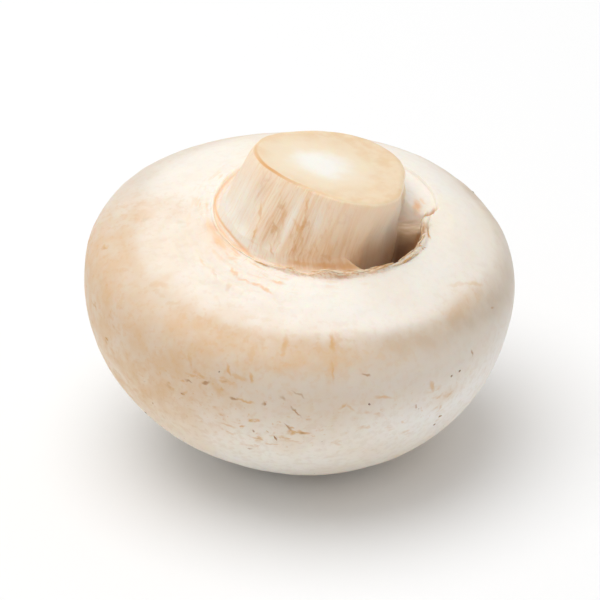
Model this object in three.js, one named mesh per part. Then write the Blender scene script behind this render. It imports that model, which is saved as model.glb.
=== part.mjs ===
// A closed-cup button mushroom, picked, its stem trimmed with a knife. It lies on its cap, stem up,
// and leans a little to the front and the right on the small spot where its crown is pressed flat.
// Millimetres, +Z up. The origin is on the surface that it rests on, under the middle of its box.
// -Y is the front, where the veil still holds to the stem's foot. On its right it is torn open.
import * as THREE from "three";

// ---- Driving dimensions (mm, degrees) ----
// Heights count from the cap's widest line. Turns count from the front, by way of +X.
const CAP_RADIUS = 25;
const DOME_DEPTH = 20.8; // from the widest line to the crown
const DOME_FULLNESS = 2.1; // 2 is an ellipse, more is squarer
const SHOULDER_RADIUS = 19.6; // the soft ridge where the rim rolls over
const SHOULDER_HEIGHT = 6.9;
const SHOULDER_SLOPE = 0.45;
const RING_RADIUS = 13.2; // where the veil ends round the stem
const RING_HEIGHT = 9.1;
const CREASE_DEPTH = 0.12; // between the whole veil and the stem
const NO_CREASE = { rise: 0.2, turn: 140, width: 44 }; // at the back right the veil runs up smoothly
const FOOT_RADIUS = 10.5; // of the stem, where its foot begins to flare out into the veil
const FOOT_RISE = 1.3; // how far above the ring that is
const FOOT_FLARE = 0.8;
const CUT_RADIUS = 9.1;
const CUT_HEIGHT = 16.1;
const CUT_EDGE = 0.2; // the cut's edge is this much rounded
const CUT_SLOPE_BACK = 9; // the knife's slant, down towards the back
const CUT_SLOPE_RIGHT = 6;

const RING_SHIFT = [1.6, 1]; // the ring is off the cap's middle
const RING_RISE_BACK = 0.5; // and not quite level
const RING_RISE_RIGHT = 4;
const FOOT_SHIFT = [0.4, 0.1];
const CUT_SHIFT = [2, 0.7]; // the stem leans to the right
const SHIFTED_SOON = 0.7; // below 1: most of the way from the ring's middle to the foot's is near the ring

const TEAR_STARTS = 28; // turns at the ring between which it comes away, stays open and closes again
const TEAR_OPEN = 54;
const TEAR_CLOSES = 84;
const TEAR_ENDS = 93;
const TEAR_SLANT = 1.3; // it is torn this much further round at each station towards the stem
const TEAR_DEPTH = 6; // below the ring
const TEAR_UNDERCUT = 0.8; // the foot is narrower down in the tear
const FLAP_DEPTH = 1.1; // a flap of veil still hangs at the tear's far end
const FLAP_STARTS = 70;
const FLAP_WHOLE = 88;
const LIP_RISE = 0.35; // the torn lip stands proud
const LIP_WIDTH = 0.6;
const NOTCH = { turn: 85, width: 4, depth: 0.8 }; // where the lip is split
const RAGGED = [
  { count: 13, size: 0.16, start: 20 }, // waves round the torn lip's edge
  { count: 22, size: 0.16, start: 75 },
];

const LOBES = [
  { count: 2, size: 0.014, turn: 125 }, // the cap isn't quite round
  { count: 3, size: 0.008, turn: 140 },
];
const SWELL = { height: 0.9, turn: 118, width: 46 }; // the rim is higher at the back right
const HOLLOWS = [
  { turn: 58, width: 36, level: 4.6, tall: 1.7, depth: 0.45 }, // a soft fold under the rim
  { turn: 119, width: 16, level: 5.5, tall: 3.2, depth: 0.4 },
];
const RIDGE = { height: 0.3, station: 22.2, wide: 1.2, turn: 12, width: 58 }; // a soft ridge in front
const WRINKLE = { height: 0.14, spacing: 1.7, from: 0.6, to: 6, turn: 316, width: 34 };
const LEDGE = { height: 0.2, out: 0.8, wide: 0.35, turn: 290, width: 44 }; // the veil's raised edge
const CUFF = { height: 0.5, turn: 4, width: 32 }; // the veil's crinkled edge, turned up at the front
const RIBS = [
  { count: 15, size: 0.12, start: 0 }, // fibres down the stem
  { count: 9, size: 0.08, start: 100 },
];
const RIBS_AT_CUT = 0.25; // how much of them is left at the cut
const CUT_LOBES = [{ count: 3, size: 0.55, start: 0 }]; // the cut is a little three-cornered
const CUT_FLAT = { depth: 0.5, turn: 80, width: 24 }; // and flatter on the right

const LEAN_FRONT = 5.5;
const LEAN_RIGHT = 7;
const REST_DENT = 0.5; // how far the crown is pressed flat

// ---- Resolution ----
const AROUND = 96;
const DOME_STEPS = 15;
const RIM_STEPS = 16;
const VEIL_STEPS = 8;
const STEM_STEPS = 6;
const CUT_STEPS = 3;
const CLOSER_TO_RING = 1.3; // the rim's stations crowd towards the ring
const AT_RING = DOME_STEPS + RIM_STEPS; // the station where the rim ends and the veil's edge begins
const AT_LIP = AT_RING + 2; // the last station of the torn lip
const AT_FOOT = AT_RING + VEIL_STEPS;
const FOOT_HEIGHT = RING_HEIGHT + FOOT_RISE;

const rad = THREE.MathUtils.degToRad;
const slope = (degrees) => Math.tan(rad(degrees));
const { clamp, euclideanModulo, lerp, smoothstep } = THREE.MathUtils;
const at = (radius, height) => new THREE.Vector2(radius, height);

// ---- The half section, from the crown round the rim to the stem and the middle of its cut ----
function dome() {
  const points = [];
  for (let i = 0; i < DOME_STEPS; i++) {
    const t = ((i / DOME_STEPS) * Math.PI) / 2;
    const radius = i ? CAP_RADIUS * Math.sin(t) ** (2 / DOME_FULLNESS) : 0;
    points.push(at(radius, -DOME_DEPTH * Math.cos(t) ** (2 / DOME_FULLNESS)));
  }
  return points;
}
function rim() {
  const shoulder = at(SHOULDER_RADIUS, SHOULDER_HEIGHT);
  const half = (SHOULDER_RADIUS - RING_RADIUS) / 2;
  const tangent = at(half, -half * SHOULDER_SLOPE);
  const upright = at(CAP_RADIUS, SHOULDER_HEIGHT * 0.62);
  const roll = [at(CAP_RADIUS, 0), upright, shoulder.clone().add(tangent), shoulder];
  const inward = [shoulder, shoulder.clone().sub(tangent), at(RING_RADIUS, RING_HEIGHT)];
  const line = new THREE.CurvePath();
  line.add(new THREE.CubicBezierCurve(...roll));
  line.add(new THREE.QuadraticBezierCurve(...inward));
  const points = [];
  for (let i = 0; i <= RIM_STEPS; i++) {
    points.push(line.getPointAt(1 - (1 - i / RIM_STEPS) ** CLOSER_TO_RING));
  }
  return points;
}
// Where the veil is whole: its edge, a crease, and the flare of the stem's foot.
function wholeVeil(crease) {
  const line = new THREE.SplineCurve([
    at(RING_RADIUS, RING_HEIGHT),
    at(RING_RADIUS - 0.5, RING_HEIGHT + 0.1),
    at(FOOT_RADIUS + FOOT_FLARE * 2, RING_HEIGHT - crease),
    at(FOOT_RADIUS + FOOT_FLARE, RING_HEIGHT + 0.25),
    at(FOOT_RADIUS, FOOT_HEIGHT),
  ]);
  return line.getSpacedPoints(VEIL_STEPS).slice(1);
}
// Where it is torn: a thin standing lip, the wall under it, and a floor beside the stem.
function tornVeil(depth) {
  const line = new THREE.SplineCurve([
    at(RING_RADIUS, RING_HEIGHT),
    at(RING_RADIUS - LIP_WIDTH / 4, RING_HEIGHT + LIP_RISE),
    at(RING_RADIUS - LIP_WIDTH, RING_HEIGHT + LIP_RISE * 0.3),
    at(RING_RADIUS + 0.1, RING_HEIGHT - depth * 0.3),
    at(RING_RADIUS, RING_HEIGHT - depth * 0.73),
    at(RING_RADIUS - 1.6, RING_HEIGHT - depth * 0.97),
    at(FOOT_RADIUS - TEAR_UNDERCUT, RING_HEIGHT - depth * 0.88),
  ]);
  return line.getSpacedPoints(VEIL_STEPS).slice(1);
}
function stem(foot) {
  const line = new THREE.SplineCurve([
    foot,
    foot.clone().lerp(at(CUT_RADIUS, CUT_HEIGHT), 0.45),
    at(CUT_RADIUS, CUT_HEIGHT),
  ]);
  return line.getSpacedPoints(STEM_STEPS).slice(1);
}
function cut() {
  const points = [];
  for (let i = 0; i <= CUT_STEPS; i++) {
    points.push(at((CUT_RADIUS - CUT_EDGE) * (1 - i / CUT_STEPS), CUT_HEIGHT + CUT_EDGE));
  }
  return points;
}
function section(veil) {
  return [...dome(), ...rim(), ...veil, ...stem(veil[veil.length - 1]), ...cut()];
}

// ---- What changes round the mushroom ----
const hump = (distance, width) => Math.exp(-((distance / width) ** 2));
const apart = (turn, other) => euclideanModulo(turn - other + 180, 360) - 180;
const humpAt = (turn, spot) => hump(apart(turn, spot.turn), spot.width);
const wave = (turn, { count, size, start }) => size * Math.sin(rad(turn * count + start));
const waves = (turn, list) => list.reduce((sum, each) => sum + wave(turn, each), 0);

// How far the veil is torn open: 0 whole, 1 open.
function tear(step, turn) {
  const further = TEAR_SLANT * clamp(step - AT_RING, 0, VEIL_STEPS);
  const opening = smoothstep(turn + further, TEAR_STARTS, TEAR_OPEN);
  return opening - smoothstep(turn - further, TEAR_CLOSES, TEAR_ENDS);
}
// The cap's lobes and its higher part fade out towards the ring.
function shapeCap(p, step, turn) {
  const lobes = LOBES.reduce((sum, l) => sum + l.size * Math.cos(rad(l.count * (turn - l.turn))), 1);
  const swell = humpAt(turn, SWELL) * hump(p.y - SHOULDER_HEIGHT / 2, SHOULDER_HEIGHT);
  p.x *= lerp(lobes, 1, smoothstep(step, DOME_STEPS, AT_RING));
  p.y += SWELL.height * swell;
}
// The rim's hollows, its soft ridge and the veil's raised edge.
function shapeRim(p, step, turn) {
  const hollow = HOLLOWS.reduce((sum, h) => sum + h.depth * humpAt(turn, h) * hump(p.y - h.level, h.tall), 0);
  const ridge = RIDGE.height * humpAt(turn, RIDGE) * hump(step - RIDGE.station, RIDGE.wide);
  p.add(at(ridge * 0.6 - hollow, ridge * 0.8));
  p.y += wrinkle(p, turn);
  p.y += LEDGE.height * humpAt(turn, LEDGE) * hump(p.x - RING_RADIUS - LEDGE.out, LEDGE.wide);
}
// Wrinkles in the veil follow the ring beside it, unevenly.
function wrinkle(p, turn) {
  const { height, spacing, from, to } = WRINKLE;
  const out = p.x - RING_RADIUS;
  const here = smoothstep(out, from, from + spacing) * (1 - smoothstep(out, to - spacing, to));
  const uneven = 1.6 * Math.sin(rad(4 * turn)) + Math.sin(rad(9 * turn));
  return height * Math.sin((2 * Math.PI * out) / spacing + uneven) * here * humpAt(turn, WRINKLE);
}
// The veil's edge is ragged where it is torn or turned up, and split at the notch.
function fray(p, step, turn) {
  const cuff = humpAt(turn, CUFF);
  p.y += waves(turn, RAGGED) * Math.max(tear(step, turn), cuff) + CUFF.height * cuff;
  p.x -= NOTCH.depth * humpAt(turn, NOTCH);
}
// The stem's fibres, which fade towards the cut, and the cut's own outline.
function shapeStem(p, turn, up) {
  const fibres = waves(turn, RIBS) * lerp(1, RIBS_AT_CUT, up);
  const outline = waves(turn, CUT_LOBES) - CUT_FLAT.depth * humpAt(turn, CUT_FLAT);
  p.x *= (1 + fibres / CUT_RADIUS) * (1 + (outline * up) / CUT_RADIUS);
}
// The middle that a station turns round.
function middle(step, height) {
  const ring = new THREE.Vector2(...RING_SHIFT);
  const foot = new THREE.Vector2(...FOOT_SHIFT);
  if (step <= AT_RING) return ring.multiplyScalar(smoothstep(step, DOME_STEPS, AT_RING));
  if (step <= AT_FOOT) return ring.lerp(foot, ((step - AT_RING) / VEIL_STEPS) ** SHIFTED_SOON);
  const up = clamp((height - FOOT_HEIGHT) / (CUT_HEIGHT - FOOT_HEIGHT), 0, 1);
  return foot.lerp(new THREE.Vector2(...CUT_SHIFT), up);
}
// One point of the skin, in the mushroom's own frame.
function skin(sections, step, turn) {
  const [creased, filled, deep, flap] = sections.map((points) => points[step]);
  const whole = creased.clone().lerp(filled, humpAt(turn, NO_CREASE));
  const torn = deep.clone().lerp(flap, smoothstep(turn, FLAP_STARTS, FLAP_WHOLE));
  const p = whole.lerp(torn, tear(step, turn));
  const up = step > AT_FOOT ? smoothstep(p.y, FOOT_HEIGHT, CUT_HEIGHT) : 0;
  if (step < AT_RING) shapeCap(p, step, turn);
  if (step > DOME_STEPS && step < AT_RING) shapeRim(p, step, turn);
  if (step >= AT_RING && step <= AT_LIP) fray(p, step, turn);
  if (step > AT_FOOT) shapeStem(p, turn, up);
  const centre = middle(step, p.y);
  const x = centre.x + p.x * Math.sin(rad(turn));
  const y = centre.y - p.x * Math.cos(rad(turn));
  const ring = slope(RING_RISE_BACK) * y + slope(RING_RISE_RIGHT) * x;
  const knife = -slope(CUT_SLOPE_BACK) * y - slope(CUT_SLOPE_RIGHT) * x;
  return [x, y, p.y + lerp(ring * smoothstep(step, DOME_STEPS, AT_RING), knife, up)];
}

// ---- The body: turned, then laid down on its cap ----
function body() {
  const whole = [wholeVeil(CREASE_DEPTH), wholeVeil(-NO_CREASE.rise)];
  const sections = [...whole, tornVeil(TEAR_DEPTH), tornVeil(FLAP_DEPTH)].map(section);
  const count = sections[0].length;
  const geometry = new THREE.LatheGeometry(sections[0], AROUND);
  const position = geometry.getAttribute("position");
  for (let v = 0; v < position.count; v++) {
    const step = v % count;
    const turn = ((Math.floor(v / count) % AROUND) / AROUND) * 360;
    position.setXYZ(v, ...skin(sections, step, turn));
  }
  return geometry.rotateX(rad(LEAN_FRONT)).rotateY(rad(LEAN_RIGHT));
}
// Lowered by the dent, with what is then below the surface pressed flat on it.
function rest(geometry) {
  geometry.computeBoundingBox();
  const { min, max } = geometry.boundingBox;
  geometry.translate(-(min.x + max.x) / 2, -(min.y + max.y) / 2, -min.z - REST_DENT);
  const position = geometry.getAttribute("position");
  for (let v = 0; v < position.count; v++) {
    position.setZ(v, Math.max(0, position.getZ(v)));
  }
  return geometry;
}

const mushroom = new THREE.Mesh(
  rest(body()),
  new THREE.MeshStandardMaterial({ color: "#f0e6d6", roughness: 0.7, metalness: 0 }),
);
mushroom.name = "mushroom";
const part = new THREE.Group();
part.add(mushroom);
export default part;
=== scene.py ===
import math

import bpy
import numpy as np
from mathutils import Matrix, Vector


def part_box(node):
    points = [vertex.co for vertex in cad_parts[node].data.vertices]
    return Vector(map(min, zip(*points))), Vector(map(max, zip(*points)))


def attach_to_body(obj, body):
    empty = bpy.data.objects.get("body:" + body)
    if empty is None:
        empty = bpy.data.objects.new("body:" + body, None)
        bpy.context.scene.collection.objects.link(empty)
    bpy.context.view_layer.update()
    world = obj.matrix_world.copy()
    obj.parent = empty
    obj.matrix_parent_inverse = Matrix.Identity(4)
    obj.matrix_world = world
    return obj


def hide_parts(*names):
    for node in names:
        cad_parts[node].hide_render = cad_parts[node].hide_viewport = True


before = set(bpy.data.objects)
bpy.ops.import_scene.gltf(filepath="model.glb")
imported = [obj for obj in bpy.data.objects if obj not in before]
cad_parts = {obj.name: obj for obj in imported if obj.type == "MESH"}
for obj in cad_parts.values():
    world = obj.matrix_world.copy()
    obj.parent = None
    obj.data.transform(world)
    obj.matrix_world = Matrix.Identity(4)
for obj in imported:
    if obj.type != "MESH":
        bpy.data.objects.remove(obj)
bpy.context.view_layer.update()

# A closed-cup button mushroom lying on its cap, stem up. The body is one skin, turned round the
# mushroom's own axis from a half section, then leaned over and pressed flat where it rests.
MM = 0.001

# ---- The mushroom's sizes, in its own frame. Heights count from the cap's widest line. Turns, widths in
# turn and slopes are in degrees, and a turn of 0 is the front and one of 90 the right ----
CAP_RADIUS = 25 * MM
DOME_DEPTH = 20.8 * MM
DOME_FULLNESS = 2.1
SHOULDER_RADIUS = 19.6 * MM
SHOULDER_HEIGHT = 6.9 * MM
SHOULDER_SLOPE = 0.45
ROLL_FULLNESS = 0.62
RING_RADIUS = 13.2 * MM
RING_HEIGHT = 9.1 * MM
VEIL_START = {"in": 0.5 * MM, "up": 0.1 * MM}
CREASE_DEPTH = 0.12 * MM
NO_CREASE = {"rise": 0.25 * MM, "fill": 0.3 * MM, "turn": 140, "width": 44, "spread": 2.2}
FOOT_RADIUS = 10.5 * MM
FOOT_RISE = 1.3 * MM
FOOT_FLARE = 0.8 * MM
FLARE_RISE = 0.25 * MM
FOOT_HEIGHT = RING_HEIGHT + FOOT_RISE
CUT_RADIUS = 9.1 * MM
CUT_HEIGHT = 16.1 * MM
CUT_EDGE = 0.2 * MM
CUT_SLOPE_BACK = 9
CUT_SLOPE_RIGHT = 6
RING_SHIFT = (1.6 * MM, 1.0 * MM)
RING_RISE_BACK = 0.5
RING_RISE_RIGHT = 4
FOOT_SHIFT = (0.4 * MM, 0.1 * MM)
CUT_SHIFT = (2.0 * MM, 0.7 * MM)
SHIFTED_SOON = 0.7
CUT_LOBES = ((3, 0.55 * MM, 0),)
CUT_FLAT = {"depth": 0.5 * MM, "turn": 80, "width": 24}
TEAR_TURNS = (28, 54, 84, 93)
TEAR_SLANT = 1.3
TEAR_DEPTH = 6 * MM
TEAR_WALL = ((-0.1 * MM, 0.3), (0, 0.73), (1.6 * MM, 0.97))
TEAR_UNDERCUT = {"in": 0.8 * MM, "share": 0.88}
FLAP_DEPTH = 1.1 * MM
FLAP_TURNS = (70, 88)
LIP_RISE = 0.35 * MM
LIP_WIDTH = 0.6 * MM
NOTCH = {"turn": 82, "width": 13, "depth": 1.1 * MM}
RAGGED = ((13, 0.16 * MM, 20), (22, 0.16 * MM, 75))
LOBES = ((2, 0.014, 125), (3, 0.008, 140))
SWELL = {"up": 0.9 * MM, "turn": 118, "width": 46}
WRINKLE = {"height": 0.14 * MM, "spacing": 1.7 * MM, "from": 0.6 * MM, "to": 6 * MM, "turn": 316, "width": 34}
RIDGE = {"out": 0.18 * MM, "up": 0.24 * MM, "station": 22.2, "wide": 1.2, "turn": 12, "width": 58}
CUFF = {"height": 0.5 * MM, "turn": 4, "width": 32}
LEDGE = {"height": 0.2 * MM, "out": 0.8 * MM, "wide": 0.35 * MM, "turn": 290, "width": 44}
CRACK = {"depth": 0.45 * MM, "turn": 95, "width": 1.8, "skew": 2.5}
RIBS = ((15, 0.12 * MM, 0), (9, 0.08 * MM, 100))
RIBS_AT_CUT = 0.25
LEAN_FRONT = 5.5
LEAN_RIGHT = 7

# ---- Hollows and patches of colour: each row is turn and level (height above the cap's widest line), how
# wide in turn, how wide in level, in degrees and mm, and then depth in mm or strength ----
HOLLOWS = ((58, 4.6, 36, 1.7, 0.45), (119, 5.5, 16, 3.2, 0.4))
# Tan patches: partly the skin's own tan, partly painted shade and warm reflected light at the left edge, the
# lower left and under the ridge
TAN_AND_SHADE = ((320, 0.0, 30, 6.5, 1.0), (345, 5.2, 26, 1.7, 0.8), (12, 5.6, 26, 1.5, 0.45),
          (58, 6.9, 15, 1.0, 0.8), (266, 6.7, 8, 0.9, 0.8), (278, 1.0, 20, 7.0, 1.0),
          (15, 0.5, 22, 3.0, 0.2), (303, -7.0, 22, 6.0, 0.9), (353, 5.2, 1.3, 1.0, 0.9),
          (7, 5.0, 1.0, 1.5, 0.9), (305, 5.9, 1.4, 0.4, 1.0), (44, -1.5, 5, 0.8, 0.7),
          (172, 1.0, 42, 6.0, 0.6), (222, -6.0, 30, 4.0, 0.4), (110, -4.0, 24, 3.5, 0.3))
# Painted grey-brown shade under the ridge at the front and right, and along the back edge, broken up by
# mottle
SHADE_BAND = ((8, 5.3, 20, 1.2, 0.5), (28, 5.8, 14, 1.1, 0.6), (48, 5.8, 14, 1.3, 0.9),
          (66, 5.2, 13, 1.5, 0.9), (84, 4.2, 12, 1.8, 0.6), (122, 6.4, 24, 2.6, 1.0),
          (178, 6.0, 24, 2.0, 0.4), (238, 5.5, 20, 2.0, 0.3))
# Painted light: patches of cooler white for the floor's bounce at the lower right and the highlight on the
# shoulder
BOUNCE_LIT = ((50, -3.0, 28, 6.0, 0.9), (85, 1.0, 20, 4.0, 0.6), (5, 7.5, 40, 1.2, 0.5),
        (115, 9.6, 24, 1.2, 0.8))
SCUFFED = ((338, -1.5, 22, 3.4, 1.0), (352, -4.0, 20, 3.2, 0.8), (278, 1.5, 16, 5.5, 1.0),
           (32, -2.5, 22, 3.5, 0.6), (190, -2.0, 40, 4.5, 0.7), (120, -5.0, 22, 4.0, 0.4),
           (312, -4.0, 18, 5.0, 0.7))
VEIL_STAINED = ((316, 9.0, 16, 0.7, 0.3), (297, 8.5, 12, 0.7, 0.6))
# Tan on the stem: partly its own stains, partly painted shade at the foot and on the right beside the tear
STEM_STAIN_AND_SHADE = ((325, 12.4, 6, 2.6, 1.0), (346, 12.6, 7, 2.6, 1.0), (8, 11.5, 15, 3.0, 0.8),
                (34, 10.6, 22, 2.6, 0.6), (42, 9.6, 14, 1.2, 0.9), (75, 7.5, 22, 2.5, 0.9),
                (2, 10.3, 20, 0.8, 1.0), (180, 11.0, 45, 3.5, 0.5), (305, 15.2, 5, 1.5, 0.6))
# Pale on the stem and flare: partly the skin's own white, partly painted light on the stem's right beside the
# tear and on the flare
STEM_PALE_AND_LIT = ((290, 12.0, 20, 4.0, 0.8), (335, 13.6, 3.5, 2.4, 0.9), (298, 9.2, 36, 1.3, 1.0),
             (353, 14.5, 4, 1.5, 0.6), (70, 12.5, 24, 3.0, 0.5), (250, 9.5, 40, 1.0, 0.7),
             (135, 9.6, 44, 1.6, 1.0))

# ---- Single marks: each row is turn and reach at one end, the same at the other, width in mm, strength.
# The reach is how far the spot is from the crown, along the half section, in mm ----
ORANGE_MARKS = ((306, 43.5, 308, 43.7, 0.8, 0.8), (323, 47.9, 325, 47.2, 0.7, 0.6),
                (313, 48.4, 318, 47.5, 0.35, 0.6), (352, 44.0, 353, 41.4, 0.6, 0.7),
                (6, 44.5, 7, 42.4, 0.6, 0.9), (7, 41.2, 8, 39.0, 0.4, 0.7),
                (339, 39.0, 341, 37.8, 0.4, 1.0), (341, 38.1, 345, 37.9, 0.7, 0.7),
                (346, 38.6, 347, 37.9, 0.5, 1.0), (336, 36.5, 339, 35.4, 1.3, 0.5),
                (344, 35.1, 348, 35.2, 0.5, 1.0), (340, 30.7, 344, 30.7, 0.4, 0.7),
                (11, 35.9, 12, 36.4, 0.5, 0.9), (12, 36.4, 15, 35.4, 0.4, 0.6),
                (352, 29.0, 356, 29.2, 0.3, 0.7), (328, 38.7, 330, 37.2, 0.6, 0.6),
                (56, 46.3, 64, 45.0, 0.6, 0.5), (63, 45.2, 69, 43.5, 0.7, 0.9),
                (37, 37.1, 38, 36.0, 0.7, 0.8), (20, 37.0, 25, 36.5, 0.5, 0.7))
BROWN_MARKS = ((334, 35.8, 335.5, 36.2, 0.4, 1.0), (329, 35.2, 331, 35.3, 0.4, 0.9),
               (342, 35.2, 344, 35.1, 0.45, 1.0), (351, 35.6, 351, 35.2, 0.45, 1.0),
               (355, 36.7, 356, 36.5, 0.4, 0.6), (358, 35.5, 361, 34.4, 0.35, 1.0),
               (357, 33.1, 359, 32.1, 0.3, 0.9), (349, 31.1, 349, 30.8, 0.45, 1.0),
               (348, 27.2, 349, 27.2, 0.35, 0.7), (16, 39.8, 18, 39.5, 0.3, 0.8),
               (33, 34.4, 33, 34.2, 0.4, 0.8), (53, 38.4, 53, 37.8, 0.35, 0.8),
               (68, 40.3, 69, 40.1, 0.4, 0.7), (358, 37.6, 361, 37.0, 0.3, 0.6))
RIBBON_MARKS = ((60, 52.4, 72, 52.3, 0.3, 0.7), (72, 52.3, 81, 52.2, 0.5, 1.0),
                (74, 52.9, 80, 52.8, 0.3, 0.8))
VEIL_MARKS = ((284, 51.3, 292, 51.3, 1.3, 0.5), (292, 51.3, 303, 51.1, 1.0, 0.5),
              (318, 49.7, 323, 49.1, 0.45, 0.8), (323, 49.1, 330, 49.1, 0.4, 0.7),
              (330, 49.1, 334, 49.2, 0.5, 0.9), (334, 49.2, 340, 48.7, 0.5, 0.9),
              (337, 50.3, 343, 50.3, 0.5, 0.8), (300, 50.9, 302, 50.9, 0.6, 0.7),
              (312, 50.5, 316, 50.9, 0.6, 0.5), (304, 48.4, 309, 48.1, 0.45, 0.5),
              (321, 51.5, 331, 51.3, 0.4, 0.6), (97, 53.8, 105, 53.5, 1.2, 1.0),
              (103, 52.9, 108, 52.9, 0.5, 0.5))
STEM_MARKS_AND_SHADE = ((340, 60.4, 344, 58.9, 0.45, 0.9), (344, 58.9, 345, 57.7, 0.45, 0.8),
              (345, 57.7, 349, 56.2, 0.4, 0.7), (326, 59.1, 332, 57.4, 0.7, 0.7),
              (315, 56.7, 317, 55.4, 0.5, 1.0), (309, 58.3, 315, 57.1, 0.5, 0.8),
              (338, 58.2, 345, 57.5, 0.7, 0.7), (329, 55.8, 333, 54.6, 0.35, 0.9),
              (344, 54.5, 358, 54.4, 0.6, 0.8), (358, 54.4, 12, 54.4, 0.8, 1.0),
              # The broad mark from turn 24 to 44 is painted shade darkening the stem's foot beside the tear
              (12, 54.4, 26, 54.3, 0.9, 0.9), (24, 54.8, 44, 54.9, 1.6, 0.6),
              (6, 56.9, 9, 55.4, 0.8, 0.6))
# Where the orange line runs, from turn to turn, in stations past the ring
LINE = ((250, 2.6), (262, 2.2), (275, 3.4), (286, 4.6), (297, 5.2), (306, 4.8), (315, 4.0), (323, 2.0),
        (332, 1.6))
PITH = {"turn": 291, "off_centre": 1.9 * MM}

# ---- Finishes that come and go round the mushroom: where each is strongest, and how wide it is there ----
SHADE_RISE = {"up": 4.5, "turn": 60, "width": 42}
LINE_SEEN = {"turn": 290, "width": 62}
LINE_BROAD = {"turn": 318, "width": 9}
RIBBON = {"turn": 28, "width": 44}
BROWN_CUFF = {"turn": 6, "width": 34}
PINK_ARCS = {"turn": 300, "width": 70}
ORANGE_EDGE = {"turn": 300, "width": 30}
STREAKS = ({"turn": 322, "width": 42}, {"turn": 200, "width": 50})
# How the veil's outer margin wavers, in stations
MARGIN_WAVES = ((3, 0.5, 40), (7, 0.3, 0))

# ---- Stations along the half section, and how finely each stretch is split. In the functions below, s is
# a station: 0 at the crown, then the dome, the rim to the ring, the veil to the foot, the stem, the cut ----
DOME_STEPS, RIM_STEPS, VEIL_STEPS, STEM_STEPS, CUT_STEPS = 15, 16, 8, 6, 3
AT_RING = DOME_STEPS + RIM_STEPS
AT_LIP = AT_RING + 2
CUFF_MIDDLE = AT_RING + 0.7
LIP_MIDDLE = AT_RING + 1.2
CREASE_MIDDLE = AT_RING + 2.7
AT_FOOT = AT_RING + VEIL_STEPS
AT_CUT = AT_FOOT + STEM_STEPS
AT_END = AT_CUT + 1 + CUT_STEPS
CLOSER_TO_RING = 1.3
AROUND = 400
SPLITS = ((0, DOME_STEPS, 66), (DOME_STEPS, AT_RING, 72), (AT_RING, AT_FOOT, 52), (AT_FOOT, AT_CUT, 32),
          (AT_CUT, AT_CUT + 1, 4), (AT_CUT + 1, AT_END, 14))


# ---------------- small helpers
def slope(degrees):
    return math.tan(math.radians(degrees))


def lerp(a, b, t):
    return a + (b - a) * t


def smooth(x, low, high):
    t = np.clip((np.asarray(x, float) - low) / (high - low), 0, 1)
    return t * t * (3 - 2 * t)


def window(x, opens, is_open, closes, ends):
    """0, then 1 between is_open and closes, then 0 again, with soft sides."""
    return smooth(x, opens, is_open) * (1 - smooth(x, closes, ends))


def hump(distance, width):
    return np.exp(-((distance / width) ** 2))


def hump_at(turn, middle, width):
    return hump((turn - middle + 180) % 360 - 180, width)


def strength_of(form, turn):
    """1 at the turn where the form is strongest, less to its sides."""
    return hump_at(turn, form["turn"], form["width"])


def waves(turn, items):
    """Waves round the mushroom, each row how many go round, how high they are, and their start in degrees."""
    return sum(size * np.sin(np.radians(turn * count + start)) for count, size, start in items)


# ---------------- the half section
def spline(points, dense=60):
    """A Catmull-Rom line through the points."""
    p = np.array([points[0], *points, points[-1]])
    t = np.linspace(0, 1, dense, endpoint=False)[:, None]
    rows = []
    for a, b, c, d in zip(p, p[1:], p[2:], p[3:]):
        v0, v1 = (c - a) / 2, (d - b) / 2
        rows.append((2 * b - 2 * c + v0 + v1) * t**3 + (3 * c - 3 * b - 2 * v0 - v1) * t**2 + v0 * t + b)
    return np.vstack([*rows, p[-1:]])


def bezier(*points, dense=200):
    t = np.linspace(0, 1, dense)[:, None]
    rows = [np.array(p) for p in points]
    while len(rows) > 1:
        rows = [a + (b - a) * t for a, b in zip(rows, rows[1:])]
    return rows[0]


def along(line, fractions):
    """Points at these fractions of the line's length."""
    run = np.concatenate([[0], np.cumsum(np.linalg.norm(np.diff(line, axis=0), axis=1))])
    return np.stack([np.interp(np.asarray(fractions) * run[-1], run, line[:, k]) for k in (0, 1)], axis=1)


def dome(s):
    t = s / DOME_STEPS * math.pi / 2
    power = 2 / DOME_FULLNESS
    return np.stack([CAP_RADIUS * np.sin(t) ** power, -DOME_DEPTH * np.cos(t).clip(0) ** power], axis=1)


def rim(s):
    shoulder = np.array([SHOULDER_RADIUS, SHOULDER_HEIGHT])
    half = (SHOULDER_RADIUS - RING_RADIUS) / 2
    tangent = np.array([half, -half * SHOULDER_SLOPE])
    widest = (CAP_RADIUS, 0)
    roll = bezier(widest, (CAP_RADIUS, SHOULDER_HEIGHT * ROLL_FULLNESS), shoulder + tangent, shoulder)
    inward = bezier(shoulder, shoulder - tangent, (RING_RADIUS, RING_HEIGHT))
    fraction = 1 - (1 - (s - DOME_STEPS) / RIM_STEPS).clip(0) ** CLOSER_TO_RING
    return along(np.vstack([roll, inward[1:]]), fraction)


def whole_veil(crease, fill=0.0):
    """The veil from the ring to the stem's foot: a shallow crease, then the foot's flare."""
    return spline([
        (RING_RADIUS, RING_HEIGHT),
        (RING_RADIUS - VEIL_START["in"], RING_HEIGHT + VEIL_START["up"]),
        (FOOT_RADIUS + FOOT_FLARE * 2, RING_HEIGHT - crease),
        (FOOT_RADIUS + FOOT_FLARE, RING_HEIGHT + FLARE_RISE + fill),
        (FOOT_RADIUS, FOOT_HEIGHT),
    ])


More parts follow.
